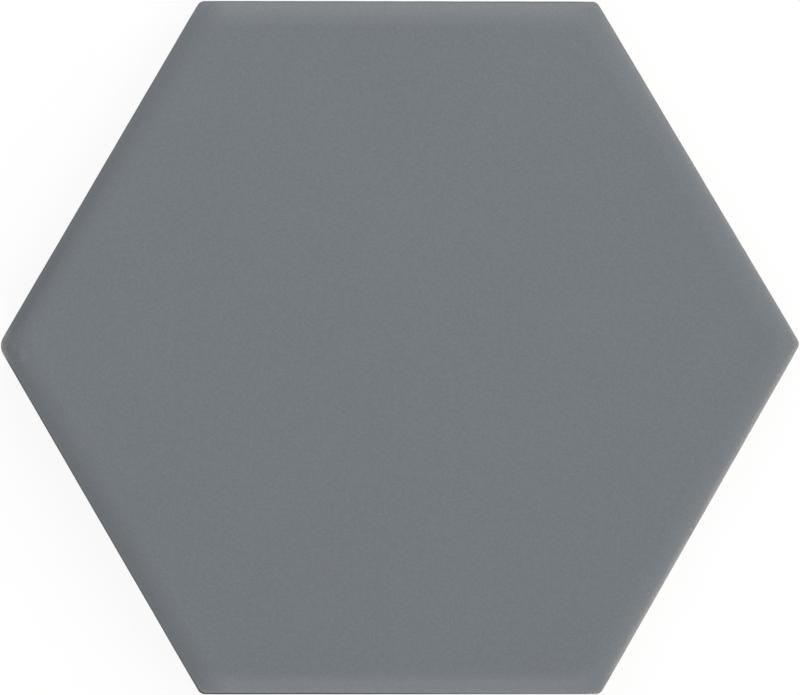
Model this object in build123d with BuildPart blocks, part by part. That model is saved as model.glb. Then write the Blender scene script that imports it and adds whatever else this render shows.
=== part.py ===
"""Hexagon tile: one dry-pressed, glazed ceramic tile, lying on its back with its face up.

The tile was pressed and fired as one piece, so it is one solid. Its face is flat in the middle and rolls
off softly to all six sides. Each side is upright below that, then leans in to the back, which is keyed with
shallow grooves for the adhesive. The origin is the middle of the back, +Z points out of the face, and +X
points at a corner.
"""

import os
from math import radians, tan

from build123d import *

# Plan, in millimetres, where the tile is widest
across_flats = 101.0
corner_radius = 1.1
blunt_corner_radius = 2.3  # the corner on -X is blunter than the other five

# Section, from the face down to the back
thickness = 9.0
flat_inset = 4.2  # how far in from the side the flat of the face ends and its roll starts
flat_corner_radius = 3.0  # rounder than the plan, so that the roll turns softly around the corners
cushion_radius = 8.0  # of the first, slow part of the roll
cushion_angle = 25.0  # how far the face has tilted where the slow part ends, in degrees
arris_radius = 0.4  # of the last, quick part of the roll, which ends upright
draft_height = 4.4  # the side leans in from here down to the back
draft_angle = 4.0  # in degrees
back_edge_radius = 0.5

# Keying grooves in the back
key_depth = 0.6
key_width = 5.5
key_pitch = 9.0
key_border = 6.0  # the plain margin around the grooves
key_corner_radius = 1.2
key_wall_angle = 30.0  # the draft of the grooves' walls, in degrees

# What follows from these: the bevel that the roll is rounded from, and the field of grooves
cushion_setback = cushion_radius * tan(radians(cushion_angle / 2))
bevel_inset = flat_inset - cushion_setback
bevel_corner_radius = flat_corner_radius + cushion_setback
back_inset = draft_height * tan(radians(draft_angle))
key_field = across_flats / 2 - back_inset - key_border
rib_width = key_pitch - key_width
key_pairs = int((key_field + rib_width / 2) // key_pitch)
key_length = 2 * across_flats  # longer than the tile, and cut to the field of grooves


def draw_plan(inset, radius, blunt_radius):
    """Draws the tile's plan in the open sketch, with its sides moved in by the inset."""
    RegularPolygon(across_flats / 2 - inset, 6, major_radius=False)
    fillet(vertices().sort_by(Axis.X)[1:], radius)
    fillet(vertices().sort_by(Axis.X)[0], blunt_radius)


with BuildPart() as tile:
    # The lower side, which leans in to the back
    with BuildSketch(Plane.XY.offset(draft_height)):
        draw_plan(0, corner_radius, blunt_corner_radius)
    extrude(amount=-draft_height, taper=draft_angle)
    fillet(edges().group_by(Axis.Z)[0], back_edge_radius)

    # The upright side, carried up to the level of the face
    with BuildSketch(Plane.XY.offset(draft_height)):
        draw_plan(0, corner_radius, blunt_corner_radius)
    extrude(amount=thickness - draft_height)

    # The roll: a shallow bevel around the face, rounded into the flat and then into the side
    with BuildSketch(Plane.XY.offset(thickness)):
        draw_plan(bevel_inset, bevel_corner_radius, bevel_corner_radius)
    extrude(amount=-thickness, taper=cushion_angle - 90, mode=Mode.INTERSECT)
    fillet(faces().sort_by(Axis.Z)[-1].edges(), cushion_radius)
    upright_faces = faces().filter_by(lambda face: abs(face.normal_at().Z) < 0.001)
    fillet([face.edges().sort_by(Axis.Z)[-1] for face in upright_faces], arris_radius)

    # The keying grooves, with a rib across the middle of the back
    with BuildSketch(Plane.XY):
        with GridLocations(0, key_pitch, 1, 2 * key_pairs):
            Rectangle(key_length, key_width)
        RegularPolygon(key_field, 6, major_radius=False, mode=Mode.INTERSECT)
        fillet(vertices(), key_corner_radius)
    extrude(amount=key_depth, taper=key_wall_angle, mode=Mode.SUBTRACT)

tile.part.label = "hexagon_tile"

os.makedirs("parts", exist_ok=True)
export_step(tile.part, "parts/hexagon_tile.step")
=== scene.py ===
"""Dresses the hexagon tile: a matt blue-grey glaze on a pale pressed body, seen from straight above.

Sizes are in millimetres until a vertex or a place is written, and then in metres, in the part's frame.
The origin is the middle of the back, +Z points out of the face and +X at the right corner.
"""

from collections import namedtuple
from math import cos, exp, pi, radians, sin, sqrt, tan

import bmesh
import bpy
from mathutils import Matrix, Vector, noise


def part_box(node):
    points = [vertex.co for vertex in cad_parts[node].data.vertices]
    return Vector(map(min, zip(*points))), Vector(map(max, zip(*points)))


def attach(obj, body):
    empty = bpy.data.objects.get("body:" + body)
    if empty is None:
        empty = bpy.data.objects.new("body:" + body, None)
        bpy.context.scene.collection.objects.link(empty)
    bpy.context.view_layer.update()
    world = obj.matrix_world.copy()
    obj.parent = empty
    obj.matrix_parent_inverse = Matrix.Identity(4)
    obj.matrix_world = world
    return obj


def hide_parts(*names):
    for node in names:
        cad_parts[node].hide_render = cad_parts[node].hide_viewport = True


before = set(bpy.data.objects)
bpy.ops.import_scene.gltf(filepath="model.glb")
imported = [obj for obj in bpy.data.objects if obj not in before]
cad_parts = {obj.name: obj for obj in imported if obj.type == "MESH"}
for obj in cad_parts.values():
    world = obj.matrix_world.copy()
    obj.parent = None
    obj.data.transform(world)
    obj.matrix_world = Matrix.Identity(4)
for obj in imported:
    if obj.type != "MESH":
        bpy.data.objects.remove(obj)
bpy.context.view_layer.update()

MM = 0.001

# The tile's size, from the frame
tile_low, tile_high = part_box("hexagon_tile")
across_flats = (tile_high.y - tile_low.y) / MM
thickness = (tile_high.z - tile_low.z) / MM
corner_reach = across_flats / sqrt(3)

# Plan and section, as in the part
corner_radius = 1.1
blunt_corner_radius = 2.3
flat_inset = 4.2
flat_corner_radius = 3.0
cushion_radius = 8.0
cushion_angle = radians(25)
arris_radius = 0.4
draft_height = 4.4
draft_angle = radians(4)
back_edge_radius = 0.5
key_depth = 0.6
key_width = 5.5
key_pitch = 9.0
key_border = 6.0
key_corner_radius = 1.2
key_wall_angle = radians(30)
upright = radians(90)  # tilts of the surface, counted from the level face
facing_down = radians(180)

# Firing left the tile a little out of true. This is how far each corner lies from the regular one,
# counter-clockwise from the corner on +X. The corner on -X is the blunt one.
corner_shifts = ((0.15, 0.3), (-0.25, -0.25), (0.2, -0.02), (-0.15, 0.28), (0.05, -0.1), (0.05, -0.2))
blunt_corner = 3

# How finely the mesh follows the tile
side_steps = 84
corner_line_steps = 9  # along each of the two straight stretches beside a corner
corner_arc_steps = 8
cushion_steps = 12
slope_steps = 6
arris_steps = 10
land_steps = 12
draft_steps = 6
back_edge_steps = 4
key_corner_steps = 5
core_inset = 6.0  # further in than this, the face is a grid of triangles
same_place_digits = 4  # points of the grid that agree to this many decimals are one vertex
sharp_angle = radians(40)  # an edge that turns by more than this is shaded sharp

# Relief that firing and glazing left
glaze_wave = 0.006
glaze_wave_length = 9.0
glaze_peel = 0.0015
glaze_peel_length = 2.2
face_relief_fade = 1.0  # the face's relief fades out over this length before the middle of the arris
arris_wobble = 0.014
arris_wobble_length = 3.0
arris_wobble_width = 2 * arris_radius
drop_place = Vector((-55.3, -1.0))  # a small drop of glaze by the blunt corner
drop_height = 0.25
drop_width = 0.75

# Where the glaze ends on the sides, counted down from the middle of the arris
glaze_reach = 1.7
glaze_reach_wave = 0.5
glaze_reach_length = 7.0
glaze_fade = 1.2  # how far it thins out to either side of its end
glaze_coat = 0.08  # how far the bare side lies behind the glazed one

# Where the glaze ran thin over the arris, as shares: on the sides, counter-clockwise from the upper right
# one, and at the tips of the corners, counter-clockwise from the one on +X
side_thinness = (0.39, 0.04, 0.04, 0.05, 0.20, 0.80)
tip_thinness = (0.80, 0.40, 0.20, 0.95, 0.35, 0.50)
tip_length = 4.0  # how far along the side a tip's share fades into the side's
thin_width = 0.54

# Shade painted dark along the arris, as shares at the start and end of each side, strongest along the
# bottom.
# They lessen where the glaze ran thin, and count as 1 at most. The places are counted from the middle of
# the arris: the painted shade darkens quickly at the edge of the face, and fades out slowly down the
# side.
side_painted_shade = ((0.0, 0.4), (0.45, 0.15), (0.1, 0.25), (0.5, 0.3), (1.6, 0.25), (0.05, 0.0))
painted_shade_start = -0.32
painted_shade_full = -0.1
painted_shade_fade = 0.1
painted_shade_end = 1.0

# Shade painted on the roll by the blunt corner, as shares at the start and end of each side
side_painted_roll_shade = ((0.0, 0.0), (0.0, 0.0), (0.0, 0.19), (0.07, 0.04), (0.0, 0.0), (0.0, 0.0))
roll_shade_place = -1.05  # counted from the middle of the arris
roll_shade_width = 0.85

# Colours of the finish, in linear red, green and blue, with alpha
glaze_dark = (0.145, 0.161, 0.176, 1)
glaze_light = (0.254, 0.281, 0.306, 1)
thin_colour = (0.46, 0.43, 0.385, 1)
# Painted shade: the dark line along the arris
painted_shade_colour = (0.018, 0.019, 0.020, 1)
# Painted shade: the darker band on the roll by the blunt corner
painted_roll_shade_colour = (0.030, 0.034, 0.037, 1)
body_dark = (0.36, 0.325, 0.27, 1)
body_light = (0.68, 0.64, 0.58, 1)
speck_colour = (0.22, 0.18, 0.14, 1)
white = (1, 1, 1, 1)

# Grain of the finish: the lengths of its features, and the shares and ranges of noise that make it
grain_length = 0.24
speck_length = 0.35
grit_length = 0.5
patch_length = 2.6
cloud_length = 14.0
even_share = 0.5
cloud_share = 0.12  # of the glaze's tone, which is grain for the rest
patchy_range = (0.2, 0.6)
speck_range = (0.68, 0.76)
haze_range = (0.7, 1.3)
spray_range = (0.72, 1.02)
glaze_roughness = 0.42
body_roughness = 0.85
bump_depth = 0.03
bump_strength = 0.5

# One place around the tile: where the flat of the face ends, where the side is and which way it faces,
# and the shares of the glaze that ran thin there, and of the shade painted along the arris and on the
# roll
Column = namedtuple("Column", "flat_point side_point normal thinness gathering pooling")

# What the glaze is like at one point: the share that it covers, the share that ran thin, and the two
# painted shades
Glaze = namedtuple("Glaze", "cover thin gathered pooled")
full_glaze = Glaze(1.0, 0.0, 0.0, 0.0)
no_glaze = Glaze(0.0, 0.0, 0.0, 0.0)


def smooth_noise(point, length):
    """Smooth noise between about -1 and 1, with features of the length."""
    return noise.noise(point / length)


def smooth_step(low, high, value):
    """Rises smoothly from 0 at low to 1 at high."""
    share = min(max((value - low) / (high - low), 0.0), 1.0)
    return share * share * (3 - 2 * share)


def mix(start, end, share):
    return start + (end - start) * share


def side_normals(corners, index):
    """The outward normals of the two sides that meet at a corner of a counter-clockwise polygon."""
    before = (corners[index] - corners[index - 1]).normalized()
    after = (corners[(index + 1) % len(corners)] - corners[index]).normalized()
    return Vector((before.y, -before.x)), Vector((after.y, -after.x))


def inset_corner(corners, index, inset):
    """A corner of a counter-clockwise polygon after its sides move in by the inset."""
    normal_before, normal_after = side_normals(corners, index)
    bisector = (normal_before + normal_after).normalized()
    return corners[index] - bisector * (inset / bisector.dot(normal_after))


def inset_polygon(corners, inset):
    return [inset_corner(corners, index, inset) for index in range(len(corners))]


def corner_arc(corners, index, radius, steps):
    """Points, with their outward normals, around a rounded corner of a counter-clockwise polygon."""
    centre = inset_corner(corners, index, radius)
    normal_before, normal_after = side_normals(corners, index)
    normals = [normal_before.slerp(normal_after, step / steps) for step in range(steps + 1)]
    return [(centre + normal * radius, normal) for normal in normals]


def corner_columns(corners, index):
    """The columns around one corner, which fan out from the middle of the face's own rounded corner."""
    hub_inset = flat_inset + flat_corner_radius
    hub = inset_corner(corners, index, hub_inset)
    normal_before, normal_after = side_normals(corners, index)
    foot_before = hub + normal_before * hub_inset
    foot_after = hub + normal_after * hub_inset
    radius = blunt_corner_radius if index == blunt_corner else corner_radius
    arc = corner_arc(corners, index, radius, corner_arc_steps)
    outline = []
    for step in range(corner_line_steps):
        outline.append((foot_before.lerp(arc[0][0], step / corner_line_steps), normal_before))
    outline.extend(arc)
    for step in range(1, corner_line_steps + 1):
        outline.append((arc[-1][0].lerp(foot_after, step / corner_line_steps), normal_after))

    columns = []
    tip = len(outline) // 2
    for place, (point, normal) in enumerate(outline):
        side = index - 1 if place < tip else index
        from_tip = smooth_step(0, tip_length, (point - outline[tip][0]).length)
        thinness = mix(tip_thinness[index], side_thinness[side], from_tip)
        around = smooth_step(0, tip, place)
        # The painted shade along the arris, blended from one side's end to the next side's start
        gathering = mix(side_painted_shade[index - 1][1], side_painted_shade[index][0], around)
        # The painted shade on the roll, blended the same way
        pooling = mix(side_painted_roll_shade[index - 1][1], side_painted_roll_shade[index][0], around)
        flat_point = hub + (point - hub).normalized() * flat_corner_radius
        columns.append(Column(flat_point, point, normal, thinness, gathering, pooling))
    return columns


def outline_columns(corners):
    """The columns around the whole tile: each corner's, and then those of the side that follows it."""
    fans = [corner_columns(corners, index) for index in range(len(corners))]
    columns = []
    for index, fan in enumerate(fans):
        columns.extend(fan)
        start = fan[-1]
        end = fans[(index + 1) % len(fans)][0]
        for step in range(1, side_steps):
            share = step / side_steps
            point = start.side_point.lerp(end.side_point, share)
            flat_point = point - start.normal * flat_inset
            thinness = side_thinness[index]
            # The painted shade along the arris, from the side's start to its end
            gathering = mix(*side_painted_shade[index], share)
            # The painted shade on the roll, the same way
            pooling = mix(*side_painted_roll_shade[index], smooth_step(0, 1, share))
            columns.append(Column(flat_point, point, start.normal, thinness, gathering, pooling))
    return columns


def section_arc(centre, radius, start, end, steps):
    """Points around an arc of the section, from one tilt of the surface to another."""
    tilts = [start + (end - start) * step / steps for step in range(steps + 1)]
    return [centre + radius * Vector((sin(tilt), cos(tilt))) for tilt in tilts]


def section_line(start, end, steps):
    """The points between two others of the section, without those two."""
    return [start.lerp(end, step / steps) for step in range(1, steps)]


def draw_section(run):
    """The section from the edge of the flat, over the arris, to the back, where the roll is run wide.

    Each point is how far out from the flat's edge it lies, and how high.
    """
    cushion_centre = Vector((0, thickness - cushion_radius))
    cushion = section_arc(cushion_centre, cushion_radius, 0, cushion_angle, cushion_steps)
    slope_run = run - arris_radius * (1 - sin(cushion_angle)) - cushion[-1].x
    arris_height = cushion[-1].y - slope_run * tan(cushion_angle) - arris_radius * cos(cushion_angle)
    arris_centre = Vector((run - arris_radius, arris_height))
    arris = section_arc(arris_centre, arris_radius, cushion_angle, upright, arris_steps)
    land_foot = Vector((run, draft_height))
    lean = (draft_height - back_edge_radius * (1 - sin(draft_angle))) * tan(draft_angle)
    edge_centre = Vector((run - lean - back_edge_radius * cos(draft_angle), back_edge_radius))
    edge_start = upright + draft_angle
    back_edge = section_arc(edge_centre, back_edge_radius, edge_start, facing_down, back_edge_steps)
    return [
        *cushion,
        *section_line(cushion[-1], arris[0], slope_steps),
        *arris,
        *section_line(arris[-1], land_foot, land_steps),
        land_foot,
        *section_line(land_foot, back_edge[0], draft_steps),
        *back_edge,
    ]


def place_section(column):
    """The section's points at a column, each with how far it lies past the middle of the arris."""
    run = (column.side_point - column.flat_point).length
    outward = (column.side_point - column.flat_point) / run
    section = draw_section(run)
    lengths = [0.0]
    for start, end in zip(section, section[1:]):
        lengths.append(lengths[-1] + (end - start).length)
    arris_end = cushion_steps + slope_steps + arris_steps
    arris_middle = arris_end - arris_steps // 2
    placed = []
    for index, (out, height) in enumerate(section):
        direction = outward if index <= arris_end else column.normal
        plan_point = column.side_point + direction * (out - run)
        placed.append((Vector((*plan_point, height)), lengths[index] - lengths[arris_middle]))
    return placed


def glaze_at(point, past_arris, column):
    """What the glaze and the painted shade are like at a point of a column's section, so far past the
    middle of the arris.
    """
    reach = glaze_reach + glaze_reach_wave * smooth_noise(point, glaze_reach_length)
    cover = 1 - smooth_step(reach - glaze_fade, reach + glaze_fade, past_arris)
    thin = column.thinness * exp(-((past_arris / thin_width) ** 2))
    # Shade painted dark along the arris, less where the glaze ran thin
    painted_shade = min(column.gathering * (1 - column.thinness), 1)
    painted_shade *= smooth_step(painted_shade_start, painted_shade_full, past_arris)
    painted_shade *= 1 - smooth_step(painted_shade_fade, painted_shade_end, past_arris)
    # Shade painted on the roll by the blunt corner
    painted_roll_shade = column.pooling * exp(-(((past_arris - roll_shade_place) / roll_shade_width) ** 2))
    return Glaze(cover, thin, painted_shade, painted_roll_shade)


def face_relief(point):
    """How far firing raised or sank the glazed face here."""
    wave = glaze_wave * smooth_noise(point, glaze_wave_length)
    peel = glaze_peel * smooth_noise(point, glaze_peel_length)
    drop = drop_height * exp(-((point.xy - drop_place).length / drop_width) ** 2)
    return wave + peel + drop


def side_relief(point, normal, past_arris, cover):
    """The point of a section after glazing and firing have left their relief on it."""
    rise = face_relief(point) * (1 - smooth_step(-face_relief_fade, 0, past_arris))
    near_arris = exp(-((past_arris / arris_wobble_width) ** 2))
    wobble = arris_wobble * near_arris * smooth_noise(point, arris_wobble_length)
    outward = normal * (wobble - glaze_coat * (1 - cover))
    return point + Vector((*outward, rise))


class TileMesh:
    """The tile's mesh in the making, with what the glaze and the painted shade are like kept at each
    vertex.
    """

    def __init__(self):
        self.mesh = bmesh.new()
        self.layers = [self.mesh.verts.layers.float.new("glaze_" + name) for name in Glaze._fields]

    def add_point(self, point, glaze):
        vertex = self.mesh.verts.new(point * MM)
        for layer, value in zip(self.layers, glaze):
            vertex[layer] = value
        return vertex

    def add_face(self, *vertices):
        self.mesh.faces.new(vertices)

    def join_rings(self, first, second):
        """Adds quads between two rings of as many vertices, both counter-clockwise from above.

        The second ring lies outside the first and below it, or inside and above it, as in a groove.
        """
        for index in range(len(first)):
            after = (index + 1) % len(first)
            self.add_face(first[index], second[index], second[after], first[after])


def add_sides(tile, corners):
    """Adds the rolled edge, the sides and the edge of the back. Returns the first and the last ring."""
    standing = []
    for column in outline_columns(corners):
        vertices = []
        for point, past_arris in place_section(column):
            glaze = glaze_at(point, past_arris, column)
            fired_point = side_relief(point, column.normal, past_arris, glaze.cover)
            vertices.append(tile.add_point(fired_point, glaze))
        standing.append(vertices)
    rings = list(zip(*standing))
    for upper, lower in zip(rings, rings[1:]):
        tile.join_rings(upper, lower)
    return rings[0], rings[-1]


def add_face_grid(tile, corners, flat_ring):
    """Adds the flat of the face: a grid of triangles in six sectors, joined to the ring around it."""
    core = inset_polygon(corners, core_inset)
    middle = sum(core, Vector((0, 0))) / len(core)
    fan_steps = 2 * corner_line_steps + corner_arc_steps
    made = {}

    def grid_point(sector, row, place):
        """A vertex of the grid, row steps out from the middle and place steps along the sector's side."""
        start = middle.lerp(core[sector % len(core)], row / side_steps)
        end = middle.lerp(core[(sector + 1) % len(core)], row / side_steps)
        spot = start.lerp(end, place / row) if row else middle
        key = (round(spot.x, same_place_digits), round(spot.y, same_place_digits))
        if key not in made:
            point = Vector((*spot, thickness))
            made[key] = tile.add_point(point + Vector((0, 0, face_relief(point))), full_glaze)
        return made[key]

    for sector in range(len(core)):
        for row in range(side_steps):
            for place in range(row + 1):
                inner = grid_point(sector, row, place)
                outer = grid_point(sector, row + 1, place)
                outer_next = grid_point(sector, row + 1, place + 1)
                tile.add_face(inner, outer, outer_next)
                if place < row:
                    tile.add_face(inner, outer_next, grid_point(sector, row, place + 1))
        first = sector * (fan_steps + side_steps)
        core_corner = grid_point(sector, side_steps, 0)
        for step in range(first, first + fan_steps):
            tile.add_face(core_corner, flat_ring[step], flat_ring[step + 1])
        for step in range(side_steps):
            start = first + fan_steps + step
            end = (start + 1) % len(flat_ring)
            inner = grid_point(sector, side_steps, step)
            inner_next = grid_point(sector, side_steps, step + 1)
            tile.add_face(inner, flat_ring[start], flat_ring[end], inner_next)


def rounded_ring(tile, corners, radius, height):
    """Adds the vertices of a bare polygon with rounded corners, counter-clockwise from above."""
    ring = []
    for index in range(len(corners)):
        for point, _ in corner_arc(corners, index, radius, key_corner_steps):
            ring.append(tile.add_point(Vector((*point, height)), no_glaze))
    return ring


def add_back(tile, back_ring):
    """Adds the back, with its keying grooves."""
    back_inset = draft_height * tan(draft_angle)
    key_field = across_flats / 2 - back_inset - key_border
    field_reach = 2 * key_field / sqrt(3)
    rib_width = key_pitch - key_width
    key_pairs = int((key_field + rib_width / 2) // key_pitch)
    wall_run = key_depth * tan(key_wall_angle)
    outlines = [back_ring]
    for place in range(2 * key_pairs):
        low = (place - key_pairs + 0.5) * key_pitch - key_width / 2
        high = low + key_width
        reach_low = field_reach - abs(low) / sqrt(3)
        reach_high = field_reach - abs(high) / sqrt(3)
        corners = [(-reach_low, low), (reach_low, low), (reach_high, high), (-reach_high, high)]
        corners = [Vector(corner) for corner in corners]
        bed_corners = inset_polygon(corners, wall_run)
        mouth = rounded_ring(tile, corners, key_corner_radius, 0)
        bed = rounded_ring(tile, bed_corners, key_corner_radius - wall_run, key_depth)
        tile.join_rings(mouth, bed)
        tile.add_face(*reversed(bed))
        outlines.append(mouth)
    edges = []
    for ring in outlines:
        for start, end in zip(ring, (*ring[1:], ring[0])):
            edges.append(tile.mesh.edges.get((start, end)) or tile.mesh.edges.new((start, end)))
    bmesh.ops.triangle_fill(tile.mesh, use_beauty=True, edges=edges, normal=Vector((0, 0, -1)))


def build_tile():
    """The whole tile, as one closed mesh in an object of its own."""
    corners = []
    for index, shift in enumerate(corner_shifts):
        angle = radians(360 / len(corner_shifts) * index)
        corners.append(Vector((corner_reach * cos(angle), corner_reach * sin(angle))) + Vector(shift))
    tile = TileMesh()
    flat_ring, back_ring = add_sides(tile, corners)
    add_face_grid(tile, corners, flat_ring)
    add_back(tile, back_ring)
    bmesh.ops.triangulate(tile.mesh, faces=[face for face in tile.mesh.faces if len(face.verts) > 4])
    bmesh.ops.recalc_face_normals(tile.mesh, faces=tile.mesh.faces)
    mesh = bpy.data.meshes.new("glazed_tile")
    tile.mesh.to_mesh(mesh)
    tile.mesh.free()
    mesh.shade_smooth()
    mesh.set_sharp_from_angle(angle=sharp_angle)
    piece = bpy.data.objects.new("glazed_tile", mesh)
    bpy.context.scene.collection.objects.link(piece)
    return piece


def add_node(tree, kind, inputs):
    """Adds a shader node. Its inputs, by name or by place, are values or other nodes' outputs."""
    node = tree.nodes.new(kind)
    for key, value in inputs.items():
        if isinstance(value, bpy.types.NodeSocket):
            tree.links.new(value, node.inputs[key])
        else:
            node.inputs[key].default_value = value
    return node


def add_math(tree, operation, first, second):
    node = add_node(tree, "ShaderNodeMath", {0: first, 1: second})
    node.operation = operation
    return node.outputs[0]


# A Mix node repeats its sockets' names for each kind of data, so they are found by place
def mix_values(tree, share, first, second):
    return add_node(tree, "ShaderNodeMix", {0: share, 2: first, 3: second}).outputs[0]


def mix_colours(tree, share, first, second):
    node = add_node(tree, "ShaderNodeMix", {0: share, 6: first, 7: second})
    node.data_type = "RGBA"
    return node.outputs[2]


def smooth_range(tree, value, ends):
    """Rises smoothly from 0 to 1 while the value goes from one end of the range to the other."""
    low, high = ends
    node = add_node(tree, "ShaderNodeMapRange", {"Value": value, "From Min": low, "From Max": high})
    node.interpolation_type = "SMOOTHSTEP"
    return node.outputs["Result"]


def add_noise(tree, place, length):
    """Noise between 0 and 1, with features of the length in millimetres."""
    return add_node(tree, "ShaderNodeTexNoise", {"Vector": place, "Scale": 1 / (length * MM)}).outputs[0]


def add_attribute(tree, name):
    node = tree.nodes.new("ShaderNodeAttribute")
    node.attribute_name = name
    return node.outputs["Fac"]


def make_glaze():
    """A matt glaze with a fine grain, pale where it ran thin, with shade painted dark along the arris and
    on the roll.

    It ends in a haze and a spray of specks on the bare body.
    """
    material = bpy.data.materials.new("glaze")
    material.use_nodes = True
    tree = material.node_tree
    shader = tree.nodes["Principled BSDF"]
    place = tree.nodes.new("ShaderNodeTexCoord").outputs["Object"]
    grain = add_noise(tree, place, grain_length)
    grit = add_noise(tree, place, grit_length)
    patches = add_noise(tree, place, patch_length)
    clouds = add_noise(tree, place, cloud_length)
    specks = add_noise(tree, place, speck_length)
    uneven = mix_values(tree, even_share, grit, patches)

    # The glaze, thin in patches over the arris, with shade painted on the roll and dark along the arris
    tone = mix_values(tree, cloud_share, grain, clouds)
    patchy = smooth_range(tree, uneven, patchy_range)
    thin = add_math(tree, "MULTIPLY", add_attribute(tree, "glaze_thin"), patchy)
    glaze_colour = mix_colours(tree, tone, glaze_dark, glaze_light)
    # Painted shade: the darker band on the roll by the blunt corner
    glaze_colour = mix_colours(tree, add_attribute(tree, "glaze_pooled"), glaze_colour, painted_roll_shade_colour)
    glaze_colour = mix_colours(tree, thin, glaze_colour, thin_colour)
    # Painted shade: the dark line along the arris
    glaze_colour = mix_colours(tree, add_attribute(tree, "glaze_gathered"), glaze_colour, painted_shade_colour)

    # The bare body, with its own dark specks
    body_tone = mix_values(tree, even_share, grit, mix_values(tree, even_share, patches, clouds))
    body_colour = mix_colours(tree, body_tone, body_dark, body_light)
    body_colour = mix_colours(tree, smooth_range(tree, specks, speck_range), body_colour, speck_colour)

    # The haze and the spray of glaze that fade out on the body
    cover = add_attribute(tree, "glaze_cover")
    haze = smooth_range(tree, add_math(tree, "ADD", cover, uneven), haze_range)
    spray = smooth_range(tree, add_math(tree, "ADD", cover, grain), spray_range)
    glazed = add_math(tree, "MAXIMUM", haze, spray)
    colour = mix_colours(tree, glazed, body_colour, glaze_colour)
    roughness = mix_values(tree, glazed, body_roughness, glaze_roughness)
    height = mix_values(tree, glazed, grit, grain)
    bump_inputs = {"Height": height, "Strength": bump_strength, "Distance": bump_depth * MM}
    bump = add_node(tree, "ShaderNodeBump", bump_inputs)
    tree.links.new(colour, shader.inputs["Base Color"])
    tree.links.new(roughness, shader.inputs["Roughness"])
    tree.links.new(bump.outputs["Normal"], shader.inputs["Normal"])
    return material


def seen_directly(tree):
    """1 for what the camera sees, also in gloss or through glass, and 0 for all other light."""
    path = tree.nodes.new("ShaderNodeLightPath").outputs
    seen = add_math(tree, "MAXIMUM", path["Is Camera Ray"], path["Is Glossy Ray"])
    return add_math(tree, "MAXIMUM", seen, path["Is Transmission Ray"])


def make_floor():
    """A white floor that shows white and keeps a pale shadow."""
    floor_size = 6000.0
    floor_gap = 0.05  # a hair below the back, so that the two don't share a plane
    glow_share = 0.85  # of what the camera sees, where the rest is paint that takes the shadow
    paint_level = 0.85
    seen_paint_level = 1.5  # makes up for the lamps, which are no stronger than the tile needs
    bpy.ops.mesh.primitive_plane_add(size=floor_size * MM, location=(0, 0, -floor_gap * MM))
    floor = bpy.context.object
    floor.name = "floor"
    material = bpy.data.materials.new("floor")
    material.use_nodes = True
    tree = material.node_tree
    tree.nodes.clear()
    seen = seen_directly(tree)
    share = add_math(tree, "MULTIPLY", seen, glow_share)
    level = mix_values(tree, seen, paint_level, seen_paint_level)
    paint = add_node(tree, "ShaderNodeBsdfDiffuse", {"Color": level})
    glow = add_node(tree, "ShaderNodeEmission", {"Color": white, "Strength": 1.0})
    surface = add_node(tree, "ShaderNodeMixShader", {0: share, 1: paint.outputs[0], 2: glow.outputs[0]})
    add_node(tree, "ShaderNodeOutputMaterial", {"Surface": surface.outputs[0]})
    floor.data.materials.append(material)


def add_lamp(name, azimuth, elevation, distance, level, colour=(1.0, 1.0, 1.0)):
    """A soft square lamp, aimed at the tile, in degrees and metres.

    The level is how much of a level surface's own colour the lamp brings out by itself.
    """
    half_width = radians(14)  # half the angle that a lamp fills, seen from the tile
    turn = radians(azimuth)
    climb = radians(elevation)
    towards = Vector((cos(turn) * cos(climb), sin(turn) * cos(climb), sin(climb)))
    light = bpy.data.lights.new(name, "AREA")
    light.size = 2 * distance * tan(half_width)
    light.energy = pi * pi * distance * distance * level / sin(climb)
    light.color = colour
    lamp = bpy.data.objects.new(name, light)
    lamp.location = towards * distance
    lamp.rotation_euler = towards.to_track_quat("Z", "Y").to_euler()
    bpy.context.scene.collection.objects.link(lamp)


def make_light():
    """Wide soft lamps from the right, the top and the bottom of the photograph, under a pale sky."""
    sky_level = 0.30
    warm = (1.0, 0.99, 0.975)
    add_lamp("right_upper_lamp", azimuth=30, elevation=20, distance=2.0, level=0.055, colour=warm)
    add_lamp("right_lower_lamp", azimuth=330, elevation=20, distance=2.0, level=0.062, colour=warm)
    add_lamp("top_low_lamp", azimuth=88, elevation=32, distance=0.65, level=0.112)
    add_lamp("top_high_lamp", azimuth=88, elevation=60, distance=0.8, level=0.065)
    add_lamp("bottom_lamp", azimuth=270, elevation=45, distance=3.0, level=0.152)
    world = bpy.data.worlds.new("studio")
    world.use_nodes = True
    tree = world.node_tree
    tree.nodes.clear()
    strength = mix_values(tree, seen_directly(tree), sky_level, 1.0)
    glow = add_node(tree, "ShaderNodeBackground", {"Color": white, "Strength": strength})
    add_node(tree, "ShaderNodeOutputWorld", {"Surface": glow.outputs[0]})
    bpy.context.scene.world = world


def make_camera():
    """Looks straight down, from where the photograph's scale and framing put it."""
    pixels_per_mm = 6.8603
    photo_width = 800
    pixels_left = 0.735  # how far the tile's middle lies left of and above the frame's
    pixels_up = 0.727
    roll = radians(-0.1275)
    sensor_width = 36.0
    widest_height = 7.5  # the scale holds at this height, where the tile is widest
    distance = 900.0  # from there
    data = bpy.data.cameras.new("camera")
    data.sensor_width = sensor_width
    data.lens = sensor_width * distance * pixels_per_mm / photo_width
    camera = bpy.data.objects.new("camera", data)
    aim = Vector((pixels_left, -pixels_up)) / pixels_per_mm
    camera.location = Vector((*aim, widest_height + distance)) * MM
    camera.rotation_euler = (0, 0, roll)
    bpy.context.scene.collection.objects.link(camera)
    bpy.context.scene.camera = camera


tile = build_tile()
tile.data.materials.append(make_glaze())
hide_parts("hexagon_tile")
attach(tile, "root")

make_floor()
make_light()
make_camera()
bpy.context.scene.view_settings.view_transform = "Standard"
